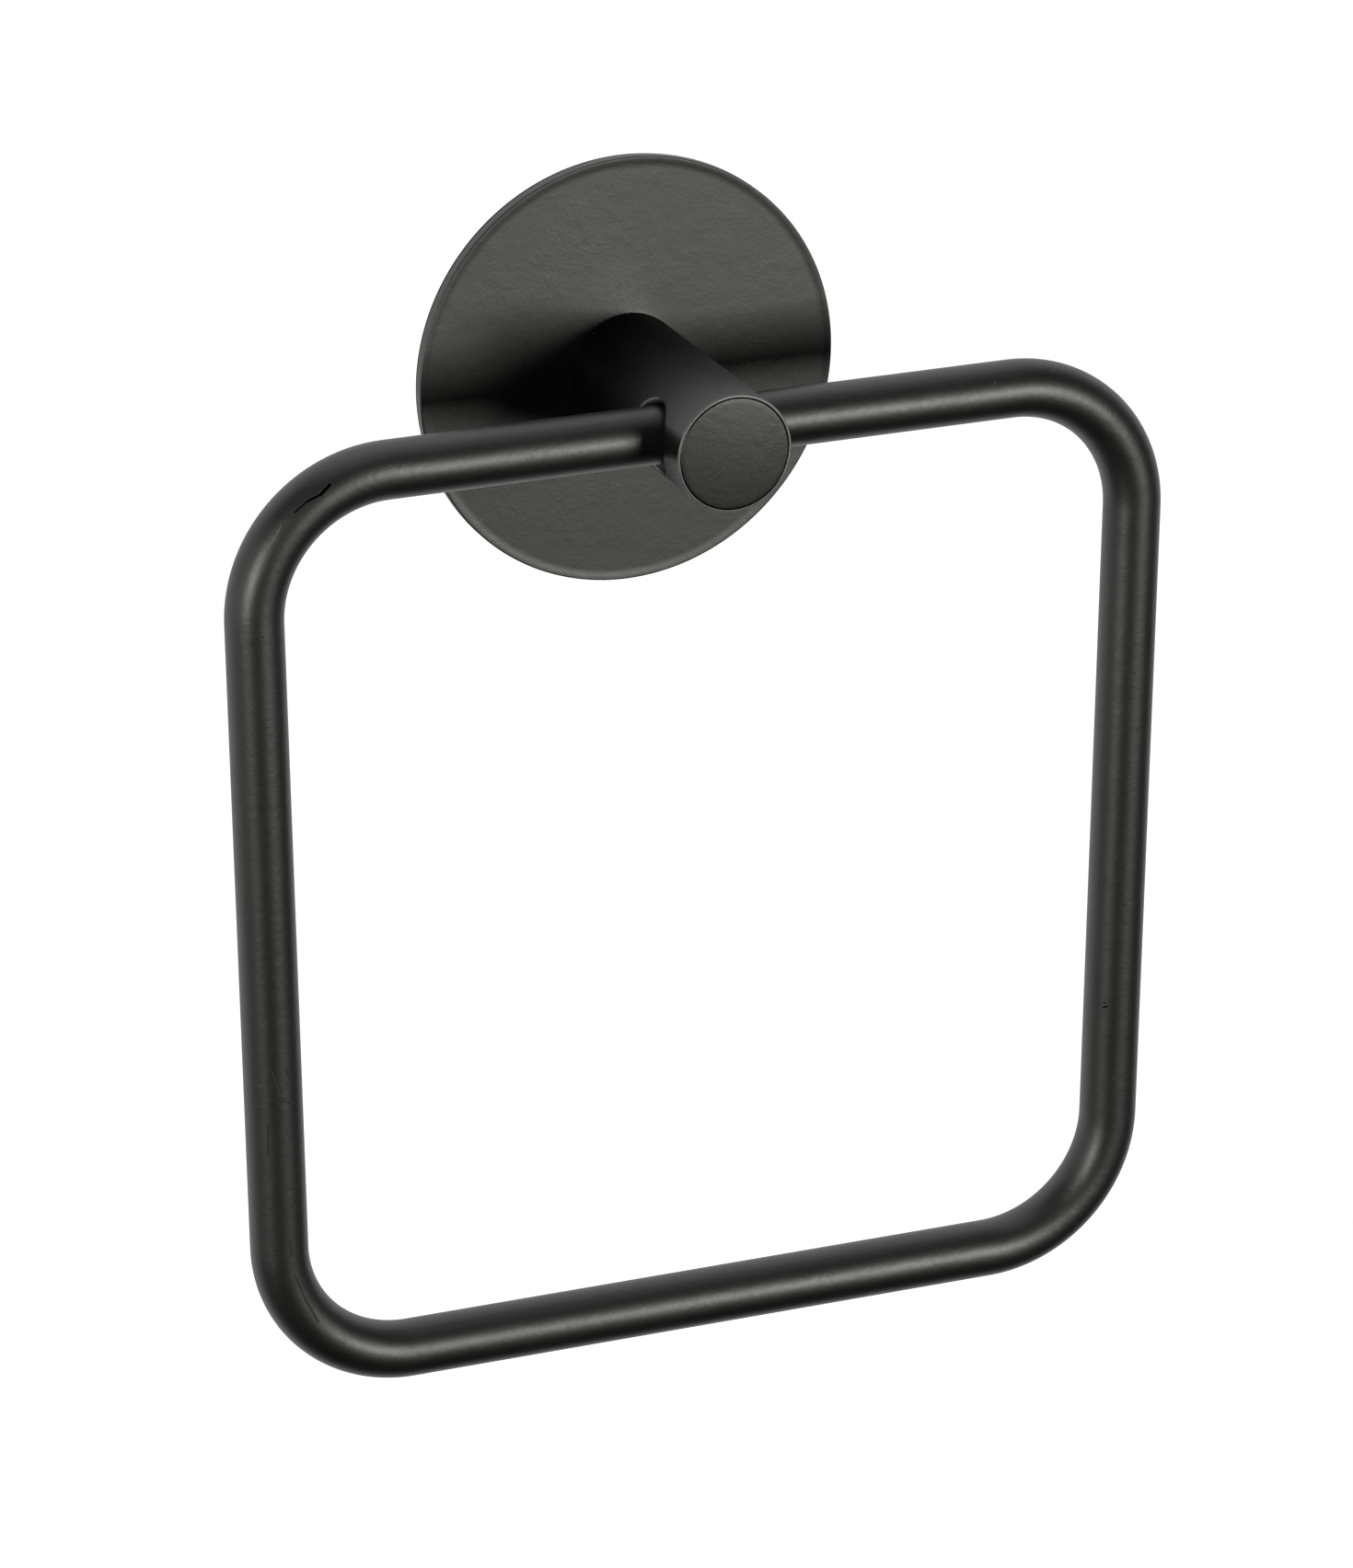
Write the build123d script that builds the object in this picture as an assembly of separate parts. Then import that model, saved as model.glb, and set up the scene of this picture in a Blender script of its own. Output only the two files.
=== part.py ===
from build123d import *

import math
import os

# Square towel ring carried by a round post on a round plate that is stuck to the wall.
# Frame: origin at the centre of the pad's back face, +X to the right, +Y into the wall, +Z up,
# so the post points along -Y and its axis is the Y axis. Millimetres.

# Towel ring: round tube bent into a near square and closed, a little narrower at the bottom
BAR_DIAMETER = 10.0
BAR_WALL = 1.2
RING_TOP_WIDTH = 171.0  # outside, along the top bar, as if its corners were square
RING_BOTTOM_WIDTH = 165.0  # outside, along the bottom bar, as if its corners were square
RING_HEIGHT = 170.5  # outside, top to bottom
BEND_RADIUS = 23.5  # to the middle of the bar

# Wall plate: pressed sheet disc with a slightly raised lip round its front and a pressed-in centre
PLATE_DIAMETER = 76.0
PLATE_THICKNESS = 1.9
LIP_WIDTH = 2.0  # how far in from the rim the front face starts to rise
LIP_RISE = 0.12  # how far it has risen at the rim
RIM_ROUND = 0.25

# Adhesive pad behind the plate
PAD_THICKNESS = 1.0
PAD_INSET = 0.3  # how far the pad's edge stays inside the plate's rim

# Post: turned bar
POST_DIAMETER = 20.5
PROJECTION = 51.0  # wall to the front of the post
POST_FRONT_ROUND = 0.2
CROSS_HOLE_CLEARANCE = 1.25  # round the bar: lets a bend of the ring pass through the hole
CROSS_HOLE_ROUND = 0.5  # at the hole's two mouths
SET_SCREW_LAND = 5.2  # solid metal between the cap's seat and the cross hole

# End cap: slightly domed disc let into the front of the post
CAP_THICKNESS = 1.6  # at its edge
CAP_DOME = 0.25  # how far its middle stands out past its edge
CAP_LIP = 0.45  # width of the post's rim left round the cap's seat
CAP_GAP = 0.1
CAP_EDGE_ROUND = 0.3

# Plate screw: from behind the plate into the foot of the post
PLATE_SCREW_DIAMETER = 5.0
PLATE_SCREW_LENGTH = 12.0  # under the head
PLATE_SCREW_HEAD_DIAMETER = 9.2
PLATE_SCREW_HEAD_HEIGHT = 2.0
PLATE_SCREW_HEAD_ROUND = 0.4
PLATE_SCREW_SOCKET = 3.0  # across flats
PLATE_SCREW_SOCKET_DEPTH = 1.2
PLATE_HOLE_GAP = 0.2  # between shank and plate
HEAD_SIDE_GAP = 0.6  # between head and the wall of its recess
HEAD_SINK = 0.3  # head below the plate's back face
TAP_RELIEF = 2.0  # tapped depth past the screw's tip
DRILL_POINT_ANGLE = 118.0

# Ring set screw: holds the bar against the back of the cross hole
SET_SCREW_DIAMETER = 6.0
SET_SCREW_POINT_DIAMETER = 4.0
SET_SCREW_POINT_LENGTH = 1.0
SET_SCREW_SINK = 0.3  # tail below the cap's seat
SET_SCREW_SOCKET = 3.0  # across flats
SET_SCREW_SOCKET_DEPTH = 2.5

# Clearances shared by several pieces
THREAD_GAP = 0.05  # between a screw and its tapped hole
CENTRING_GAP = 0.1  # between the plate's pressed centre and the foot of the post
CENTRE_RELIEF = 0.3  # in front of the pressed centre, so the post seats on the plate's face
BAR_SEAT_GAP = 0.05  # between the bar and what clamps it

bar_radius = BAR_DIAMETER / 2
plate_radius = PLATE_DIAMETER / 2
post_radius = POST_DIAMETER / 2

# Places along the post's axis, from the wall outwards
plate_back = -PAD_THICKNESS
plate_front = plate_back - PLATE_THICKNESS
press_depth = PLATE_SCREW_HEAD_HEIGHT + HEAD_SINK
head_seat = plate_back - press_depth
press_front = plate_front - press_depth
post_front = -PROJECTION
cap_seat = post_front + CAP_THICKNESS

# The cross hole, and the bar lying against the back of it
cross_hole_radius = bar_radius + CROSS_HOLE_CLEARANCE
cross_hole_y = cap_seat + SET_SCREW_LAND + cross_hole_radius
bar_y = cross_hole_y + CROSS_HOLE_CLEARANCE - BAR_SEAT_GAP

# Radii that two pieces share
recess_radius = PLATE_SCREW_HEAD_DIAMETER / 2 + HEAD_SIDE_GAP
press_radius = recess_radius + PLATE_THICKNESS
plate_hole_radius = PLATE_SCREW_DIAMETER / 2 + PLATE_HOLE_GAP
cap_seat_radius = post_radius - CAP_LIP


def corners(outline, *points):
    """The outline's corners that lie at the given (radius, y) points."""
    return [outline.vertices().sort_by_distance((*point, 0))[0] for point in points]


def turned(outline):
    """Spin an outline drawn as (radius, y) about the post's axis."""
    return revolve(outline, Axis.Y)


def hex_socket(across_flats, mouth, depth, way):
    """Hexagonal socket along the post's axis, from its mouth in the given direction."""
    flat = Plane((0, mouth, 0), x_dir=(1, 0, 0), z_dir=(0, way, 0))
    return extrude(flat * RegularPolygon(across_flats / 2, 6, major_radius=False), depth)


def make_adhesive_pad():
    """Thin foam disc, just smaller than the plate. Its back is the face that meets the wall."""
    pad_radius = plate_radius - PAD_INSET
    return turned(make_face(Polyline((0, 0), (pad_radius, 0), (pad_radius, plate_back), (0, plate_back), close=True)))


def make_wall_plate():
    """Sheet disc. Its front face rises smoothly to a low lip at the rim, in two equal arcs, and the
    centre is pressed forward into a cup: it centres the post in front and hides the screw behind."""
    lip_start = (plate_radius - LIP_WIDTH, plate_front)
    lip_middle = (plate_radius - LIP_WIDTH / 2, plate_front - LIP_RISE / 2)
    lip_end = (plate_radius, plate_front - LIP_RISE)
    back_rim = (plate_radius, plate_back)
    rise = TangentArc(lip_start, lip_middle, tangent=(1, 0))
    crest = TangentArc(lip_middle, lip_end, tangent=rise % 1)
    straight = Polyline(
        lip_end,
        back_rim,
        (recess_radius, plate_back),
        (recess_radius, head_seat),
        (plate_hole_radius, head_seat),
        (plate_hole_radius, press_front),
        (press_radius, press_front),
        (press_radius, plate_front),
        lip_start,
    )
    outline = make_face(rise + crest + straight)
    outline = fillet(corners(outline, lip_end, back_rim), RIM_ROUND)
    return turned(outline)


def make_plate_screw():
    """Low-head machine screw, tip forward. The thread is left as a plain cylinder."""
    shank_radius = PLATE_SCREW_DIAMETER / 2
    head_radius = PLATE_SCREW_HEAD_DIAMETER / 2
    head_top = head_seat + PLATE_SCREW_HEAD_HEIGHT
    tip = head_seat - PLATE_SCREW_LENGTH
    head_edge = (head_radius, head_top)
    outline = make_face(
        Polyline(
            (0, head_top),
            head_edge,
            (head_radius, head_seat),
            (shank_radius, head_seat),
            (shank_radius, tip),
            (0, tip),
            close=True,
        )
    )
    outline = fillet(corners(outline, head_edge), PLATE_SCREW_HEAD_ROUND)
    return turned(outline) - hex_socket(PLATE_SCREW_SOCKET, head_top, PLATE_SCREW_SOCKET_DEPTH, -1)


def make_post():
    """Turned bar. Foot: a counterbore over the plate's pressed centre and a blind tapped hole.
    Front: a shallow seat for the cap and a tapped hole through to the cross hole for the ring."""
    foot_bore_radius = press_radius + CENTRING_GAP
    foot_bore_end = press_front - CENTRE_RELIEF
    tap_radius = PLATE_SCREW_DIAMETER / 2 + THREAD_GAP
    tap_end = head_seat - PLATE_SCREW_LENGTH - TAP_RELIEF
    drill_point = tap_end - tap_radius / math.tan(math.radians(DRILL_POINT_ANGLE / 2))
    set_screw_radius = SET_SCREW_DIAMETER / 2 + THREAD_GAP
    front_edge = (post_radius, post_front)
    outline = make_face(
        Polyline(
            (0, drill_point),
            (tap_radius, tap_end),
            (tap_radius, foot_bore_end),
            (foot_bore_radius, foot_bore_end),
            (foot_bore_radius, plate_front),
            (post_radius, plate_front),
            front_edge,
            (cap_seat_radius, post_front),
            (cap_seat_radius, cap_seat),
            (set_screw_radius, cap_seat),
            (set_screw_radius, cross_hole_y),
            (0, cross_hole_y),
            close=True,
        )
    )
    outline = fillet(corners(outline, front_edge), POST_FRONT_ROUND)
    cross_hole = Pos(0, cross_hole_y, 0) * Rot(0, 90, 0) * Cylinder(cross_hole_radius, 2 * POST_DIAMETER)
    post = turned(outline) - cross_hole
    mouths = [post.edges().sort_by_distance((side * post_radius, cross_hole_y, 0))[0] for side in (-1, 1)]
    return fillet(mouths, CROSS_HOLE_ROUND)


def make_towel_ring():
    """Closed tube along four bars with round corners. The middle of its top bar lies on the post's axis."""
    top = (RING_TOP_WIDTH - BAR_DIAMETER) / 2
    bottom = (RING_BOTTOM_WIDTH - BAR_DIAMETER) / 2
    drop = RING_HEIGHT - BAR_DIAMETER
    ring_plane = Plane((0, bar_y, 0), x_dir=(1, 0, 0), z_dir=(0, -1, 0))
    bars = make_face(Polyline((-top, 0), (top, 0), (bottom, -drop), (-bottom, -drop), close=True))
    path = (ring_plane * fillet(bars.vertices(), BEND_RADIUS)).wire()
    section_plane = Plane(path @ 0, z_dir=path % 0)
    tube = Circle(bar_radius) - Circle(bar_radius - BAR_WALL)
    return sweep(section_plane * tube, path)


def make_ring_set_screw():
    """Headless screw in the post's axis, its point on the front of the ring's bar."""
    screw_radius = SET_SCREW_DIAMETER / 2
    point_radius = SET_SCREW_POINT_DIAMETER / 2
    tail = cap_seat + SET_SCREW_SINK
    point = bar_y - bar_radius - BAR_SEAT_GAP
    outline = make_face(
        Polyline(
            (0, tail),
            (screw_radius, tail),
            (screw_radius, point - SET_SCREW_POINT_LENGTH),
            (point_radius, point),
            (0, point),
            close=True,
        )
    )
    return turned(outline) - hex_socket(SET_SCREW_SOCKET, tail, SET_SCREW_SOCKET_DEPTH, 1)


def make_end_cap():
    """Disc glued into its seat. Its domed front starts flush with the post's rim, with a soft edge."""
    cap_radius = cap_seat_radius - CAP_GAP
    front_edge = (cap_radius, post_front)
    middle = (0, post_front - CAP_DOME)
    dome = TangentArc(middle, front_edge, tangent=(1, 0))
    straight = Polyline(front_edge, (cap_radius, cap_seat), (0, cap_seat), middle)
    outline = fillet(corners(make_face(dome + straight), front_edge), CAP_EDGE_ROUND)
    return turned(outline)


pieces = {
    "adhesive_pad": make_adhesive_pad(),
    "wall_plate": make_wall_plate(),
    "plate_screw": make_plate_screw(),
    "post": make_post(),
    "towel_ring": make_towel_ring(),
    "ring_set_screw": make_ring_set_screw(),
    "end_cap": make_end_cap(),
}

os.makedirs("parts", exist_ok=True)
for name, piece in pieces.items():
    export_step(piece, f"parts/{name}.step")
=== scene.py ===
import math

import bpy
from mathutils import Matrix, Vector


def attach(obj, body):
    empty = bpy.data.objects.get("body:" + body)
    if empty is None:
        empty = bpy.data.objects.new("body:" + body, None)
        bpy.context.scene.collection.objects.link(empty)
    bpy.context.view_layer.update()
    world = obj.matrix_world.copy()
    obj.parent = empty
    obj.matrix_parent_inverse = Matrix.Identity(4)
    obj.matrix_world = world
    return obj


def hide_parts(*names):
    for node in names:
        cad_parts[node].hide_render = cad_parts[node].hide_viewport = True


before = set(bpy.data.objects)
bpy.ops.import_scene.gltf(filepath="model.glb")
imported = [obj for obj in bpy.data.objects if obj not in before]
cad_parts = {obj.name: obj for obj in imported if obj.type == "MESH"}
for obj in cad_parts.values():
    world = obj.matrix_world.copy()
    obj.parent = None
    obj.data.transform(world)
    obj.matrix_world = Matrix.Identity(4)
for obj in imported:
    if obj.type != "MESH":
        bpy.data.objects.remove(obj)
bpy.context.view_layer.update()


# Adhesive pad: a disc die-cut from thin black foam with glue on both faces. It is stuck to the
# plate's back, and its own back sticks to the wall. The cut leaves the edge slightly hollow.
mm = 0.001


def arc(centre, radius, start_deg, end_deg, steps):
    """Points of an arc in a (radius, y) section. 0 degrees is away from the post's axis, 90 the front."""
    turns = [math.radians(start_deg + (end_deg - start_deg) * i / steps) for i in range(steps + 1)]
    return [(centre[0] + radius * math.cos(t), centre[1] - radius * math.sin(t)) for t in turns]


def turn_on_axis(name, section, steps):
    """Draw a section point by point as (radius, y) in mm and spin it once round the post's axis."""
    bpy.ops.object.select_all(action="DESELECT")
    bpy.ops.mesh.primitive_plane_add(size=mm, location=(0, 0, 0))
    piece = bpy.context.object
    piece.name = piece.data.name = name
    bpy.ops.object.mode_set(mode="EDIT")
    bpy.ops.mesh.select_all(action="SELECT")
    bpy.ops.mesh.merge(type="CENTER")
    bpy.ops.transform.translate(value=(section[0][0] * mm, section[0][1] * mm, 0))
    for here, there in zip(section, section[1:]):
        step = ((there[0] - here[0]) * mm, (there[1] - here[1]) * mm, 0)
        bpy.ops.mesh.extrude_region_move(TRANSFORM_OT_translate={"value": step})
    bpy.ops.mesh.select_all(action="SELECT")
    bpy.ops.mesh.spin(steps=steps, angle=2 * math.pi, center=(0, 0, 0), axis=(0, 1, 0))
    close_up(piece)
    return piece


def close_up(piece):
    """Merge the seam and the poles, and turn every face outwards."""
    bpy.ops.object.mode_set(mode="EDIT")
    bpy.ops.mesh.select_all(action="SELECT")
    bpy.ops.mesh.remove_doubles(threshold=0.002 * mm)
    bpy.ops.mesh.normals_make_consistent(inside=False)
    bpy.ops.object.mode_set(mode="OBJECT")


def smooth(piece, angle_deg):
    """Shade a piece round, with creases where two faces meet more sharply than the angle."""
    bpy.ops.object.select_all(action="DESELECT")
    piece.select_set(True)
    bpy.context.view_layer.objects.active = piece
    bpy.ops.object.shade_smooth_by_angle(angle=math.radians(angle_deg))


def node(tree, kind, **settings):
    """Add a node and set its properties."""
    new = tree.nodes.new(kind)
    for name, value in settings.items():
        setattr(new, name, value)
    return new


def plug(tree, socket, value):
    """Give an input a value, or link it to an output."""
    if isinstance(value, bpy.types.NodeSocket):
        tree.links.new(value, socket)
    else:
        socket.default_value = value


def maths(tree, operation, *values, clamp=False):
    """A Math node on values or outputs."""
    new = node(tree, "ShaderNodeMath", operation=operation, use_clamp=clamp)
    for socket, value in zip(new.inputs, values):
        plug(tree, socket, value)
    return new.outputs[0]


def ramp(tree, value, low, high, to_low=0.0, to_high=1.0):
    """A smooth step of a value from one range to another."""
    new = node(tree, "ShaderNodeMapRange", interpolation_type="SMOOTHSTEP")
    names = ("Value", "From Min", "From Max", "To Min", "To Max")
    for name, given in zip(names, (value, low, high, to_low, to_high)):
        plug(tree, new.inputs[name], given)
    return new.outputs["Result"]


def noise(tree, position, size, detail=2.0):
    """Noise whose lumps are about so many metres across."""
    new = node(tree, "ShaderNodeTexNoise")
    plug(tree, new.inputs["Vector"], position)
    plug(tree, new.inputs["Scale"], 1.0 / size)
    plug(tree, new.inputs["Detail"], detail)
    return new.outputs["Fac"]


def mix(tree, share, first, second):
    """Blend two colours."""
    new = node(tree, "ShaderNodeMix", data_type="RGBA")
    plug(tree, new.inputs["Factor"], share)
    plug(tree, new.inputs[6], first)
    plug(tree, new.inputs[7], second)
    return new.outputs[2]


def new_material(name):
    """A material with its Principled shader, and the object's own coordinates."""
    material = bpy.data.materials.new(name)
    material.use_nodes = True
    tree = material.node_tree
    shader = tree.nodes["Principled BSDF"]
    return material, tree, shader, node(tree, "ShaderNodeTexCoord").outputs["Object"]


pad_radius, pad_back, pad_front = 37.7, 0.0, -1.0
pad_hollow, hollow_steps = 0.12, 8
corner_in, corner_down, flat_edge = 0.04, 0.05, 0.3  # the cut's small corners, and where the flat faces end
pad_section = [(0, pad_back), (pad_radius * 0.5, pad_back), (pad_radius - flat_edge, pad_back)]
pad_section += [(pad_radius - corner_in, pad_back), (pad_radius, pad_back - corner_down)]
for i in range(1, hollow_steps):
    down = i / hollow_steps
    hollow = pad_hollow * math.sin(math.pi * down)
    pad_section.append((pad_radius - hollow, pad_back - corner_down + (pad_front + 2 * corner_down) * down))
pad_section += [(pad_radius, pad_front + corner_down), (pad_radius - corner_in, pad_front)]
pad_section += [(pad_radius - flat_edge, pad_front), (0, pad_front)]
pad = turn_on_axis("foam_pad", pad_section, 192)
smooth(pad, 50)

foam, tree, shader, place = new_material("pad_foam")
cells = node(tree, "ShaderNodeTexVoronoi", feature="SMOOTH_F1")
plug(tree, cells.inputs["Vector"], place)
plug(tree, cells.inputs["Scale"], 1 / (0.45 * mm))
pores = cells.outputs["Distance"]
cloud = noise(tree, place, 9 * mm, 3.0)
dark_foam, pale_foam = (0.010, 0.010, 0.010, 1), (0.020, 0.020, 0.019, 1)
plug(tree, shader.inputs["Base Color"], mix(tree, ramp(tree, cloud, 0.3, 0.7), dark_foam, pale_foam))
plug(tree, shader.inputs["Roughness"], ramp(tree, pores, 0.1, 0.7, 0.62, 0.86))
dents = node(tree, "ShaderNodeBump")
plug(tree, dents.inputs["Strength"], 0.5)
plug(tree, dents.inputs["Distance"], 0.08 * mm)
plug(tree, dents.inputs["Height"], pores)
plug(tree, shader.inputs["Normal"], dents.outputs["Normal"])
pad.data.materials.append(foam)
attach(pad, "root")
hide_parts("adhesive_pad")


# Wall plate: a disc stamped from sheet, its centre pressed forward into a cup under the post. Its
# front rises to a low lip at the rim. It is powder coated satin black after stamping.
def coat_group():
    """The coat's own unevenness: a fine grain, wider clouds, and specks of dust caught in it."""
    group = bpy.data.node_groups.new("satin_coat", "ShaderNodeTree")
    sockets = group.interface
    sockets.new_socket("Place", in_out="INPUT", socket_type="NodeSocketVector")
    sockets.new_socket("Satin", in_out="INPUT", socket_type="NodeSocketFloat")
    sockets.new_socket("Dust", in_out="INPUT", socket_type="NodeSocketFloat")
    sockets.new_socket("Colour", in_out="OUTPUT", socket_type="NodeSocketColor")
    sockets.new_socket("Roughness", in_out="OUTPUT", socket_type="NodeSocketFloat")
    sockets.new_socket("Height", in_out="OUTPUT", socket_type="NodeSocketFloat")
    given = node(group, "NodeGroupInput")
    result = node(group, "NodeGroupOutput")
    place = given.outputs["Place"]
    grain = noise(group, place, 0.6 * mm, 2.0)
    peel = noise(group, place, 1.8 * mm, 2.0)
    cloud = noise(group, place, 12 * mm, 3.0)
    specks = node(group, "ShaderNodeTexVoronoi", feature="F1")
    plug(group, specks.inputs["Vector"], place)
    plug(group, specks.inputs["Scale"], 1 / (5.0 * mm))
    chance = node(group, "ShaderNodeSeparateColor")
    plug(group, chance.inputs["Color"], specks.outputs["Color"])
    some = maths(group, "LESS_THAN", chance.outputs[0], given.outputs["Dust"])
    dot = ramp(group, specks.outputs["Distance"], 0.03, 0.018)
    dust = maths(group, "MULTIPLY", some, dot)
    black, paler_black = (0.0006, 0.0006, 0.0005, 1), (0.0011, 0.0011, 0.0010, 1)
    dust_colour = (0.22, 0.21, 0.18, 1)
    base = mix(group, ramp(group, cloud, 0.3, 0.7), black, paler_black)
    plug(group, result.inputs["Colour"], mix(group, dust, base, dust_colour))
    clouding = ramp(group, cloud, 0.25, 0.75, -0.01, 0.01)
    graining = ramp(group, grain, 0.3, 0.7, -0.012, 0.012)
    uneven = maths(group, "ADD", given.outputs["Satin"], maths(group, "ADD", clouding, graining))
    plug(group, result.inputs["Roughness"], maths(group, "ADD", uneven, maths(group, "MULTIPLY", dust, 0.3)))
    relief = maths(group, "ADD", maths(group, "MULTIPLY", grain, 0.35), maths(group, "MULTIPLY", peel, 0.65))
    patches = ramp(group, noise(group, place, 7 * mm), 0.3, 0.7, 0.6, 1.2)
    relief = maths(group, "MULTIPLY", relief, patches)
    plug(group, result.inputs["Height"], maths(group, "ADD", relief, dust))
    return group


satin_coat = coat_group()


def coat_material(name, satin, dust, relief_depth, index=1.7):
    """Satin black powder coat, so dull, so dusty, with a grain of so many mm and a refractive index."""
    material, tree, shader, place = new_material(name)
    coat = node(tree, "ShaderNodeGroup", node_tree=satin_coat)
    plug(tree, coat.inputs["Place"], place)
    plug(tree, coat.inputs["Satin"], satin)
    plug(tree, coat.inputs["Dust"], dust)
    plug(tree, shader.inputs["Base Color"], coat.outputs["Colour"])
    plug(tree, shader.inputs["Roughness"], coat.outputs["Roughness"])
    plug(tree, shader.inputs["IOR"], index)
    relief = node(tree, "ShaderNodeBump")
    plug(tree, relief.inputs["Strength"], 0.9)
    plug(tree, relief.inputs["Distance"], relief_depth * mm)
    plug(tree, relief.inputs["Height"], coat.outputs["Height"])
    plug(tree, shader.inputs["Normal"], relief.outputs["Normal"])
    return material


plate_radius, plate_back, plate_face = 38.0, -1.0, -2.9
lip_width, lip_rise, rim_round = 2.0, 0.12, 0.25
press_radius, press_front, recess_radius, head_seat, screw_hole = 7.1, -5.2, 5.2, -3.3, 2.7
lip_turn = math.degrees(2 * math.atan(lip_rise / lip_width))
lip_radius = lip_width / 2 / math.sin(math.radians(lip_turn))
lip_start, lip_centre = plate_radius - lip_width, plate_face - lip_rise + lip_radius
rim_centre = lip_centre - math.sqrt((lip_radius - rim_round) ** 2 - rim_round**2)
rim_turn = math.degrees(math.asin(rim_round / (lip_radius - rim_round)))
plate_section = [(screw_hole, press_front), (press_radius, press_front), (press_radius, plate_face)]
plate_section += [(12, plate_face), (24, plate_face)]
plate_section += [(lip_start - 1.2, plate_face), (lip_start - 0.15, plate_face)]
plate_section += arc((lip_start, plate_face - lip_radius), lip_radius, -90, lip_turn - 90, 8)
plate_section += arc((plate_radius, lip_centre), lip_radius, 90 + lip_turn, 90 + rim_turn, 8)[1:]
plate_section += arc((plate_radius - rim_round, rim_centre), rim_round, 90 + rim_turn, 0, 8)[1:]
plate_section += [(plate_radius, plate_back - rim_round - 0.1)]
plate_section += arc((plate_radius - rim_round, plate_back - rim_round), rim_round, 0, -90, 6)
plate_section += [(plate_radius - 1.0, plate_back), (recess_radius, plate_back)]
plate_section += [(recess_radius, head_seat), (screw_hole, head_seat), (screw_hole, press_front)]
plate = turn_on_axis("stamped_plate", plate_section, 256)
smooth(plate, 40)
plate.data.materials.append(coat_material("plate_coat", 0.45, 0.10, 0.045, 1.70))
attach(plate, "root")
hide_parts("wall_plate")


# Screws: two short turned steel screws with hexagon sockets. The one with a low head is driven from
# behind the plate into the foot of the post, and the pad covers it. The headless one lies in the post's
# axis, under the cap, and presses the ring's bar against the back of its hole.
steel, tree, shader, place = new_material("screw_steel")
turned_marks = node(tree, "ShaderNodeTexWave", wave_type="RINGS", rings_direction="Y")
plug(tree, turned_marks.inputs["Vector"], place)
plug(tree, turned_marks.inputs["Scale"], 1 / (0.5 * mm))
plug(tree, turned_marks.inputs["Distortion"], 1.5)
dark_steel, bright_steel = (0.48, 0.48, 0.49, 1), (0.60, 0.60, 0.61, 1)
plug(tree, shader.inputs["Base Color"], mix(tree, noise(tree, place, 2 * mm), dark_steel, bright_steel))
plug(tree, shader.inputs["Roughness"], ramp(tree, turned_marks.outputs["Fac"], 0, 1, 0.26, 0.38))
plug(tree, shader.inputs["Metallic"], 1.0)
for screw in ("plate_screw", "ring_set_screw"):
    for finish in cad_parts[screw].material_slots:
        finish.material = steel


# Post: round steel bar turned to length, drilled across for the ring and powder coated. The screw
# from behind draws its foot onto the plate, and a shallow seat is turned in its front for the cap.
post_radius, post_front, post_round = 10.25, -51.0, 0.2
seat_radius, seat_floor, seat_cut, set_screw_bore = 9.8, -49.4, 0.06, 3.05
foot_bore, foot_floor, tap_radius, tap_end, tap_point = 7.2, -5.5, 2.55, -17.3, -18.83
hole_y, hole_radius, hole_round = -37.95, 6.25, 0.5
post_section = [(0, tap_point), (tap_radius, tap_end), (tap_radius, foot_floor), (foot_bore, foot_floor)]
post_section += [(foot_bore, plate_face), (post_radius, plate_face)]
post_section += [(post_radius, y) for y in (-3.1, -8, -14, -20, -26, -30)]
post_section += [(post_radius, -31 - 0.5 * i) for i in range(30)]  # close together where the hole will be
post_section += [(post_radius, -48), (post_radius, post_front + post_round + 0.15)]
post_section += arc((post_radius - post_round, post_front + post_round), post_round, 0, 90, 6)
post_section += [(seat_radius + seat_cut, post_front), (seat_radius, post_front + seat_cut)]
post_section += [(seat_radius, seat_floor), (set_screw_bore, seat_floor)]
post_section += [(set_screw_bore, hole_y), (0, hole_y)]
post = turn_on_axis("drilled_post", post_section, 192)

# The drill that crosses the post flares where it breaks out, so the hole's edge is left rounded.
bpy.ops.object.select_all(action="DESELECT")
bpy.ops.mesh.primitive_cylinder_add(
    vertices=144,
    radius=hole_radius * mm,
    depth=2 * mm,
    end_fill_type="NOTHING",
    location=(0, hole_y * mm, 0),
    rotation=(0, math.pi / 2, 0),
)
drill = bpy.context.object
bpy.ops.object.transform_apply(location=True, rotation=True, scale=True)
flare_turns = [math.radians(13 * i) for i in range(7)]
flare = [(hole_radius + hole_round * (1 - math.cos(t)), hole_round * (math.sin(t) - 1)) for t in flare_turns]
flare += [(hole_radius + hole_round * 1.6, 0.25 * hole_round), (hole_radius + hole_round * 3, 3.0)]
for side in (-1, 1):
    bpy.ops.object.mode_set(mode="EDIT")
    bpy.ops.mesh.select_mode(type="VERT")
    bpy.ops.mesh.select_all(action="DESELECT")
    bpy.ops.object.mode_set(mode="OBJECT")
    for corner in drill.data.vertices:
        corner.select = side * corner.co.x > 0
    for number, (width, beyond) in enumerate(flare):
        bpy.ops.object.mode_set(mode="EDIT")
        if number > 0:
            bpy.ops.mesh.extrude_region_move(TRANSFORM_OT_translate={"value": (side * 0.01 * mm, 0, 0)})
        bpy.ops.object.mode_set(mode="OBJECT")
        for corner in drill.data.vertices:
            if corner.select:
                around = math.atan2(corner.co.z, corner.co.y - hole_y * mm)
                wall = math.sqrt(post_radius**2 - (width * math.sin(around)) ** 2)
                out, ahead, above = wall + beyond, width * math.cos(around), width * math.sin(around)
                corner.co = (side * out * mm, (hole_y + ahead) * mm, above * mm)
    bpy.ops.object.mode_set(mode="EDIT")
    bpy.ops.mesh.edge_face_add()
    bpy.ops.object.mode_set(mode="OBJECT")
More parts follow.
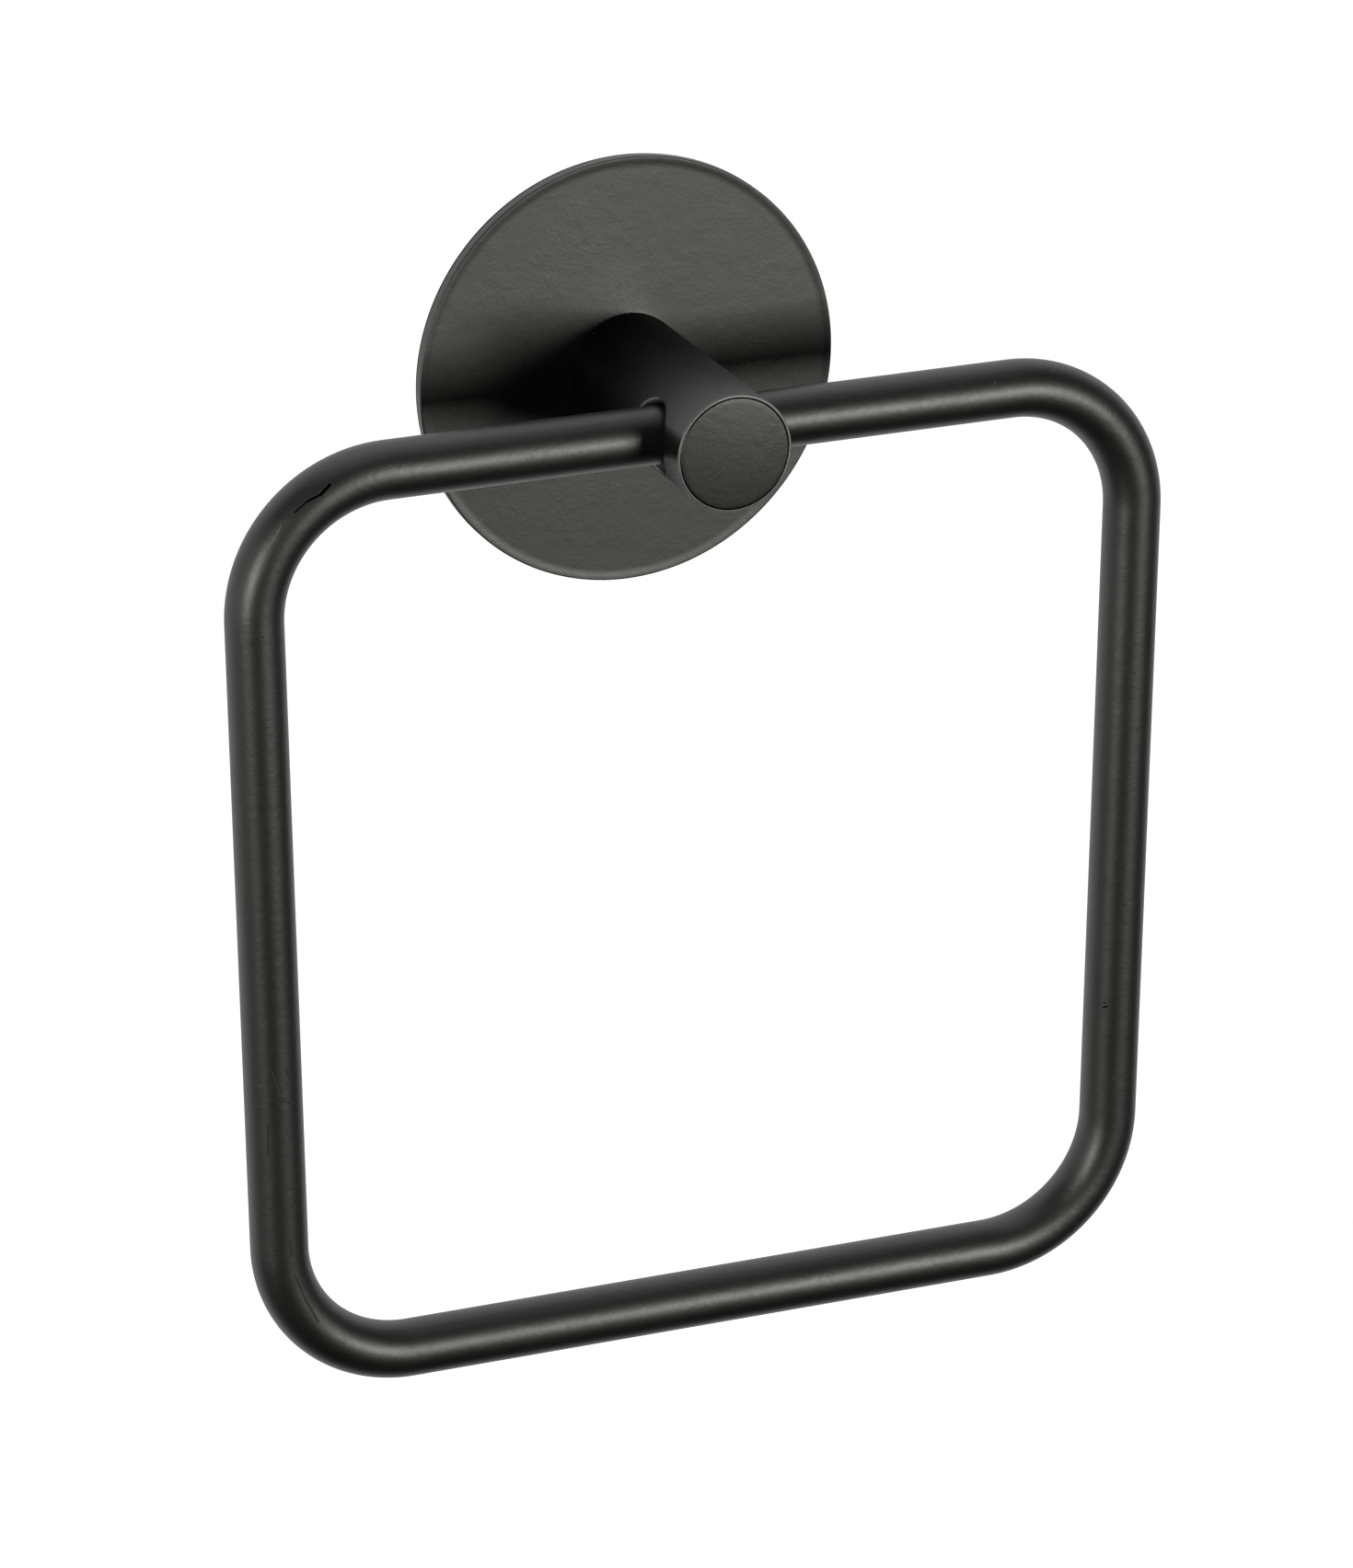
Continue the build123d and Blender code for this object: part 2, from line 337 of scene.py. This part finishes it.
close_up(drill)
bpy.ops.object.select_all(action="DESELECT")
bpy.context.view_layer.objects.active = post
post.select_set(True)
cut = post.modifiers.new("cross_hole", "BOOLEAN")
cut.operation, cut.solver, cut.object = "DIFFERENCE", "EXACT", drill
bpy.ops.object.modifier_apply(modifier=cut.name)
bpy.data.objects.remove(drill)
close_up(post)
smooth(post, 40)


def streak_group():
    """A soft-edged line on the surface between two points: 1 along it, 0 farther off than its width."""
    group = bpy.data.node_groups.new("streak", "ShaderNodeTree")
    sockets = group.interface
    for name in ("Place", "From", "To"):
        sockets.new_socket(name, in_out="INPUT", socket_type="NodeSocketVector")
    sockets.new_socket("Width", in_out="INPUT", socket_type="NodeSocketFloat")
    sockets.new_socket("Mask", in_out="OUTPUT", socket_type="NodeSocketFloat")
    given = node(group, "NodeGroupInput").outputs
    result = node(group, "NodeGroupOutput")

    def vectors(operation, first, second, output="Vector"):
        new = node(group, "ShaderNodeVectorMath", operation=operation)
        plug(group, new.inputs[0], first)
        plug(group, new.inputs["Scale" if operation == "SCALE" else 1], second)
        return new.outputs[output]

    line = vectors("SUBTRACT", given["To"], given["From"])
    here = vectors("SUBTRACT", given["Place"], given["From"])
    length = maths(group, "ADD", vectors("DOT_PRODUCT", line, line, "Value"), 1e-12)
    share = maths(group, "DIVIDE", vectors("DOT_PRODUCT", here, line, "Value"), length, clamp=True)
    off = vectors("DISTANCE", here, vectors("SCALE", line, share), "Value")
    full_within = maths(group, "MULTIPLY", given["Width"], 0.4)
    plug(group, result.inputs["Mask"], ramp(group, off, given["Width"], full_within))
    return group


def marked(tree, place, lines):
    """One mask of several lines. Each is a list of points in mm and its half width, or that at each end."""
    whole = 0.0
    for points, *half_widths in lines:
        for i in range(max(1, len(points) - 1)):
            mark = node(tree, "ShaderNodeGroup", node_tree=streak)
            width = half_widths[0] + (half_widths[-1] - half_widths[0]) * i / max(1, len(points) - 2)
            plug(tree, mark.inputs["Place"], place)
            plug(tree, mark.inputs["From"], Vector(points[i]) * mm)
            plug(tree, mark.inputs["To"], Vector(points[min(i + 1, len(points) - 1)]) * mm)
            plug(tree, mark.inputs["Width"], width * mm)
            whole = maths(tree, "MAXIMUM", whole, mark.outputs["Mask"])
    return whole


# Its coat is thin inside the hole, where the wall is painted pale as painted light reaching into the hole.
# The front rim is smooth and duller, painted paler as wear and as a painted highlight. It carries a few pale
# specks of dust. Each mark is a line from a point to a point, or a single point.
streak = streak_group()
post_coat = coat_material("post_coat", 0.31, 0.16, 0.03, 2.05)
tree = post_coat.node_tree
shader, coat, relief = [tree.nodes[name] for name in ("Principled BSDF", "Group", "Bump")]
place = tree.nodes["Texture Coordinate"].outputs["Object"]
specks = marked(
    tree,
    place,
    [
        ([(0.82, -8.55, 10.22)], 0.14),
        ([(-6.67, -3.98, 7.78)], 0.16),
        ([(-2.42, -28.65, 9.96)], 0.16),
        ([(-4.18, -38.19, 9.36)], 0.14),
        ([(-4.84, -30.50, 9.03)], 0.12),
    ],
)
where = node(tree, "ShaderNodeSeparateXYZ")
plug(tree, where.inputs[0], place)
along = maths(tree, "POWER", maths(tree, "SUBTRACT", where.outputs["Y"], hole_y * mm), 2)
across = maths(tree, "SQRT", maths(tree, "ADD", along, maths(tree, "POWER", where.outputs["Z"], 2)))
inside = ramp(tree, across, (hole_radius + 0.25) * mm, (hole_radius + 0.05) * mm)
rim = ramp(tree, where.outputs["Y"], (post_front + 0.28) * mm, (post_front + 0.12) * mm)
grained = ramp(tree, where.outputs["Y"], (post_front + 0.25) * mm, (post_front + 0.60) * mm)
# The pale colour inside the hole is painted light on the hole's wall, laid over a thin coat there.
thin_coat_and_painted_light, rim_wear_and_painted_highlight, pale_dust = (0.20, 0.195, 0.235, 1), (0.030, 0.030, 0.029, 1), (0.16, 0.155, 0.14, 1)
rim_dullness, middle_height = 0.14, 0.45
colour = mix(tree, inside, coat.outputs["Colour"], thin_coat_and_painted_light)
# The paler colour at the front rim is a painted highlight, partly also wear of the coat.
colour = mix(tree, rim, colour, rim_wear_and_painted_highlight)
plug(tree, shader.inputs["Base Color"], mix(tree, specks, colour, pale_dust))
duller = maths(tree, "MULTIPLY", rim, rim_dullness)
plug(tree, shader.inputs["Roughness"], maths(tree, "ADD", coat.outputs["Roughness"], duller))
grain = maths(tree, "SUBTRACT", coat.outputs["Height"], middle_height)
plug(tree, relief.inputs["Height"], maths(tree, "MULTIPLY", grain, grained))
post.data.materials.append(post_coat)
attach(post, "root")
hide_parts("post")


# Towel ring: one length of round steel tube bent on a mandrel to a square with round corners, its
# ends welded together inside the post, and powder coated. The bar lies in the post's cross hole.
bar_radius, bar_y = 5.0, -36.75
top_half, bottom_half, ring_drop, bend_radius = 80.5, 77.5, 160.5, 23.5
bpy.ops.object.select_all(action="DESELECT")
bpy.ops.mesh.primitive_circle_add(
    vertices=72,
    radius=bar_radius * mm,
    fill_type="NOTHING",
    location=(0, bar_y * mm, 0),
    rotation=(0, math.pi / 2, 0),
)
ring = bpy.context.object
ring.name = ring.data.name = "bent_ring"
bpy.ops.object.transform_apply(location=True, rotation=True, scale=True)
bpy.ops.object.mode_set(mode="EDIT")
bpy.ops.mesh.select_all(action="SELECT")


def run_straight(end, to, steps=16):
    """Draw the open end of the tube straight on to a point (x, z), and give that point."""
    step = Vector((to[0] - end[0], 0, to[1] - end[1])) / steps * mm
    for _ in range(steps):
        bpy.ops.mesh.extrude_region_move(TRANSFORM_OT_translate={"value": step})
    return to


def bend_round(end, corner, lean_deg, turn_deg, steps=36):
    """Draw the tube up to where a corner's bend begins and on round it, clockwise seen from the front.
    The tube comes in at so many degrees clockwise from a level run to the right. Gives the bend's end."""
    lean, turn = math.radians(lean_deg), math.radians(turn_deg)
    tangent = bend_radius * math.tan(turn / 2)
    start = (corner[0] - tangent * math.cos(lean), corner[1] + tangent * math.sin(lean))
    run_straight(end, start)
    middle = (start[0] - bend_radius * math.sin(lean), start[1] - bend_radius * math.cos(lean))
    pivot = (middle[0] * mm, bar_y * mm, middle[1] * mm)
    bpy.ops.mesh.spin(steps=steps, angle=turn, center=pivot, axis=(0, -1, 0))
    out = lean + turn
    return (corner[0] + tangent * math.cos(out), corner[1] - tangent * math.sin(out))


lean_in = math.degrees(math.atan2(top_half - bottom_half, ring_drop))
end = bend_round((0, 0), (top_half, 0), 0, 90 + lean_in)
end = bend_round(end, (bottom_half, -ring_drop), 90 + lean_in, 90 - lean_in)
end = bend_round(end, (-bottom_half, -ring_drop), 180, 90 - lean_in)
end = bend_round(end, (-top_half, 0), 270 - lean_in, 90 + lean_in)
run_straight(end, (0, 0))
close_up(ring)
smooth(ring, 40)

# Its coat carries marks of handling: a deep dark score at the upper left corner, faint ones down the
# left bar, a pale scuff, pale specks, and two nibs under the coat. A score has lost its sheen.
ring_coat = coat_material("ring_coat", 0.45, 0.16, 0.062)
tree = ring_coat.node_tree
shader, coat, relief = [tree.nodes[name] for name in ("Principled BSDF", "Group", "Bump")]
place = tree.nodes["Texture Coordinate"].outputs["Object"]
corner_score = [(-67.87, -40.91, 0.21), (-69.59, -41.17, -1.18)]
corner_score += [(-71.92, -40.91, -2.19), (-74.06, -40.86, -3.80)]
hooked_score = [(-80.23, -41.47, -102.13), (-79.26, -41.70, -105.24)]
hooked_score += [(-78.22, -41.74, -108.44), (-76.75, -41.45, -109.14)]
corner_scuff = [(-76.45, -40.72, -5.93), (-77.63, -40.92, -7.84)]
corner_scuff += [(-79.22, -40.77, -9.81), (-79.85, -40.96, -11.53)]
deep_score = marked(tree, place, [(corner_score, 0.42, 0.20)])
faint_scores = marked(
    tree,
    place,
    [
        ([(-80.95, -41.05, -112.54), (-81.03, -40.94, -118.15)], 0.17),
        ([(-80.74, -41.30, -97.73), (-80.67, -41.31, -100.77)], 0.12),
        (hooked_score, 0.14),
        ([(-77.89, -41.70, -102.42), (-76.60, -41.36, -105.47)], 0.14),
        ([(-77.67, -41.74, -134.27), (-77.39, -41.72, -137.29)], 0.16),
        ([(-76.98, -41.71, -140.81), (-75.05, -41.62, -145.68), (-72.83, -41.69, -150.38)], 0.18, 0.30),
        ([(-80.39, -41.74, -24.56)], 0.30),
    ],
)
scuffs = marked(
    tree,
    place,
    [
        (corner_scuff, 0.16, 0.24),
        ([(-57.37, -41.21, 2.25)], 0.20),
        ([(-83.69, -40.17, -24.43)], 0.22),
        ([(46.48, -39.84, 3.93)], 0.18),
        ([(51.88, -40.92, 2.77)], 0.22),
        ([(76.87, -41.60, -129.45)], 0.18),
    ],
)
nibs = marked(tree, place, [([(75.11, -40.57, -115.45)], 0.62), ([(63.17, -39.84, 3.12)], 0.42)])
faintness, score_dullness, scuff_dullness, nib_height = 0.4, 0.5, 0.1, 9.0
score_colour, scuff_colour = (0.0003, 0.0003, 0.0003, 1), (0.055, 0.055, 0.050, 1)
scores = maths(tree, "MAXIMUM", deep_score, maths(tree, "MULTIPLY", faint_scores, faintness))
colour = mix(tree, scores, coat.outputs["Colour"], score_colour)
plug(tree, shader.inputs["Base Color"], mix(tree, scuffs, colour, scuff_colour))
dull_scores = maths(tree, "MULTIPLY", scores, score_dullness)
dull_scuffs = maths(tree, "MULTIPLY", scuffs, scuff_dullness)
worn = maths(tree, "ADD", dull_scores, dull_scuffs)
plug(tree, shader.inputs["Roughness"], maths(tree, "ADD", coat.outputs["Roughness"], worn))
plug(tree, shader.inputs["Metallic"], scores)
raised = maths(tree, "SUBTRACT", maths(tree, "MULTIPLY", nibs, nib_height), scores)
plug(tree, relief.inputs["Height"], maths(tree, "ADD", coat.outputs["Height"], raised))
ring.data.materials.append(ring_coat)
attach(ring, "root")
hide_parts("towel_ring")


# End cap: a slightly domed disc with a softened front edge, powder coated and glued into the post's
# seat. A fine dark joint is left between it and the post's rim.
cap_radius, cap_round, cap_dome = 9.7, 0.25, 0.25
dome_radius = cap_radius / math.sin(2 * math.atan(cap_dome / cap_radius))
dome_centre = post_front - cap_dome + dome_radius
edge_centre = dome_centre - math.sqrt((dome_radius - cap_round) ** 2 - (cap_radius - cap_round) ** 2)
edge_turn = math.degrees(math.asin((cap_radius - cap_round) / (dome_radius - cap_round)))
cap_section = arc((0, dome_centre), dome_radius, 90, 90 - edge_turn, 12)
cap_section += arc((cap_radius - cap_round, edge_centre), cap_round, 90 - edge_turn, 0, 8)[1:]
cap_section += [(cap_radius, seat_floor), (0, seat_floor)]
cap = turn_on_axis("end_disc", cap_section, 192)
smooth(cap, 40)
cap.data.materials.append(coat_material("cap_coat", 0.40, 0.10, 0.046, 1.57))
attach(cap, "root")
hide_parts("end_cap")


# Studio: a pale table behind and below the object, a large soft box to the right of the camera, a
# narrower one to its left, weak ones at the far left and overhead, and a white background.
bpy.ops.object.select_all(action="DESELECT")
table_front, table_back, table_half, table_top = 0.30, 4.0, 3.0, -0.34
bpy.ops.mesh.primitive_plane_add(size=1, location=(0, (table_front + table_back) / 2, table_top))
table = bpy.context.object
table.name = "table"
table.scale = (2 * table_half, table_back - table_front, 1)
bpy.ops.object.transform_apply(location=True, rotation=True, scale=True)
paint, tree, shader, _ = new_material("table_paint")
plug(tree, shader.inputs["Base Color"], (0.82, 0.82, 0.82, 1))
plug(tree, shader.inputs["Roughness"], 0.9)
plug(tree, shader.inputs["Emission Color"], (1, 1, 1, 1))
rays = node(tree, "ShaderNodeLightPath").outputs
table_glow = 0.95
seen = maths(tree, "ADD", rays["Is Camera Ray"], rays["Is Glossy Ray"])
seen = maths(tree, "ADD", seen, rays["Is Transmission Ray"], clamp=True)
plug(tree, shader.inputs["Emission Strength"], maths(tree, "MULTIPLY", seen, table_glow))
table.data.materials.append(paint)


def soft_box(name, azimuth_deg, elevation_deg, distance, width, height, radiance, colour):
    """A lamp that faces the middle of the object. Azimuth is to the right of straight in front, and a
    radiance of 1 looks white. It lights surfaces directly only, so that inner corners stay deep black."""
    middle_of_object = Vector((0, -0.03, -0.07))
    az, el = math.radians(azimuth_deg), math.radians(elevation_deg)
    toward = Vector((math.sin(az) * math.cos(el), -math.cos(az) * math.cos(el), math.sin(el)))
    lamp = bpy.data.lights.new(name, "AREA")
    lamp.shape, lamp.size, lamp.size_y = "RECTANGLE", width, height
    lamp.energy = math.pi * width * height * radiance
    lamp.color = colour
    lamp.cycles.max_bounces = 0
    stand = bpy.data.objects.new(name, lamp)
    stand.location = middle_of_object + toward * distance
    stand.rotation_euler = toward.to_track_quat("Z", "Y").to_euler()
    stand.visible_camera = False
    bpy.context.scene.collection.objects.link(stand)


soft_box("right_box", 25.5, 4.3, 2.4, 0.76, 0.74, 20.8, (0.985, 1.0, 0.90))
soft_box("left_box", -52, 3, 2.4, 0.55, 0.86, 19.0, (0.985, 1.0, 0.90))
soft_box("side_box", -90, 5, 1.3, 0.58, 1.20, 1.0, (1.0, 1.0, 0.97))
soft_box("top_box", 0, 88, 1.3, 0.95, 1.15, 0.9, (0.97, 0.97, 1.0))

# The room is white to the camera, and what the coat mirrors of it is white only at its back.
world = bpy.data.worlds.new("white_room")
bpy.context.scene.world = world
world.use_nodes = True
tree = world.node_tree
sky = tree.nodes["Background"]
rays = node(tree, "ShaderNodeLightPath").outputs
toward_back = node(tree, "ShaderNodeVectorMath", operation="DOT_PRODUCT")
plug(tree, toward_back.inputs[0], node(tree, "ShaderNodeTexCoord").outputs["Generated"])
plug(tree, toward_back.inputs[1], (0.1, 0.995, 0))
behind = ramp(tree, toward_back.outputs["Value"], 0.0, 0.50)
mirrored = maths(tree, "MULTIPLY", rays["Is Glossy Ray"], behind)
seen = maths(tree, "ADD", rays["Is Camera Ray"], rays["Is Transmission Ray"])
seen = maths(tree, "ADD", seen, mirrored, clamp=True)
plug(tree, sky.inputs["Color"], (1, 1, 1, 1))
plug(tree, sky.inputs["Strength"], seen)


# Camera: a long lens a good metre away, to the left of the object and above it. The lens is given in
# pixels of the photograph.
lens_px, photo_height_px = 8400.0, 1704
look_at = Vector((-1.981, -30.0, -66.177)) * mm
camera_distance = 1326.46 * mm
az, el, roll = -0.385739, 0.371496, -0.000155
back = Vector((math.sin(az) * math.cos(el), -math.cos(az) * math.cos(el), math.sin(el)))
level_right = (-back).cross(Vector((0, 0, 1))).normalized()
level_up = level_right.cross(-back)
right = level_right * math.cos(roll) + level_up * math.sin(roll)
up = level_up * math.cos(roll) - level_right * math.sin(roll)
lens = bpy.data.cameras.new("camera")
lens.sensor_fit = "VERTICAL"
lens.sensor_height = 36
lens.lens = lens_px * lens.sensor_height / photo_height_px
camera = bpy.data.objects.new("camera", lens)
turn = Matrix((right, up, back)).transposed()
camera.matrix_world = Matrix.Translation(look_at + back * camera_distance) @ turn.to_4x4()
bpy.context.scene.collection.objects.link(camera)
bpy.context.scene.camera = camera
bpy.context.scene.view_settings.view_transform = "Standard"
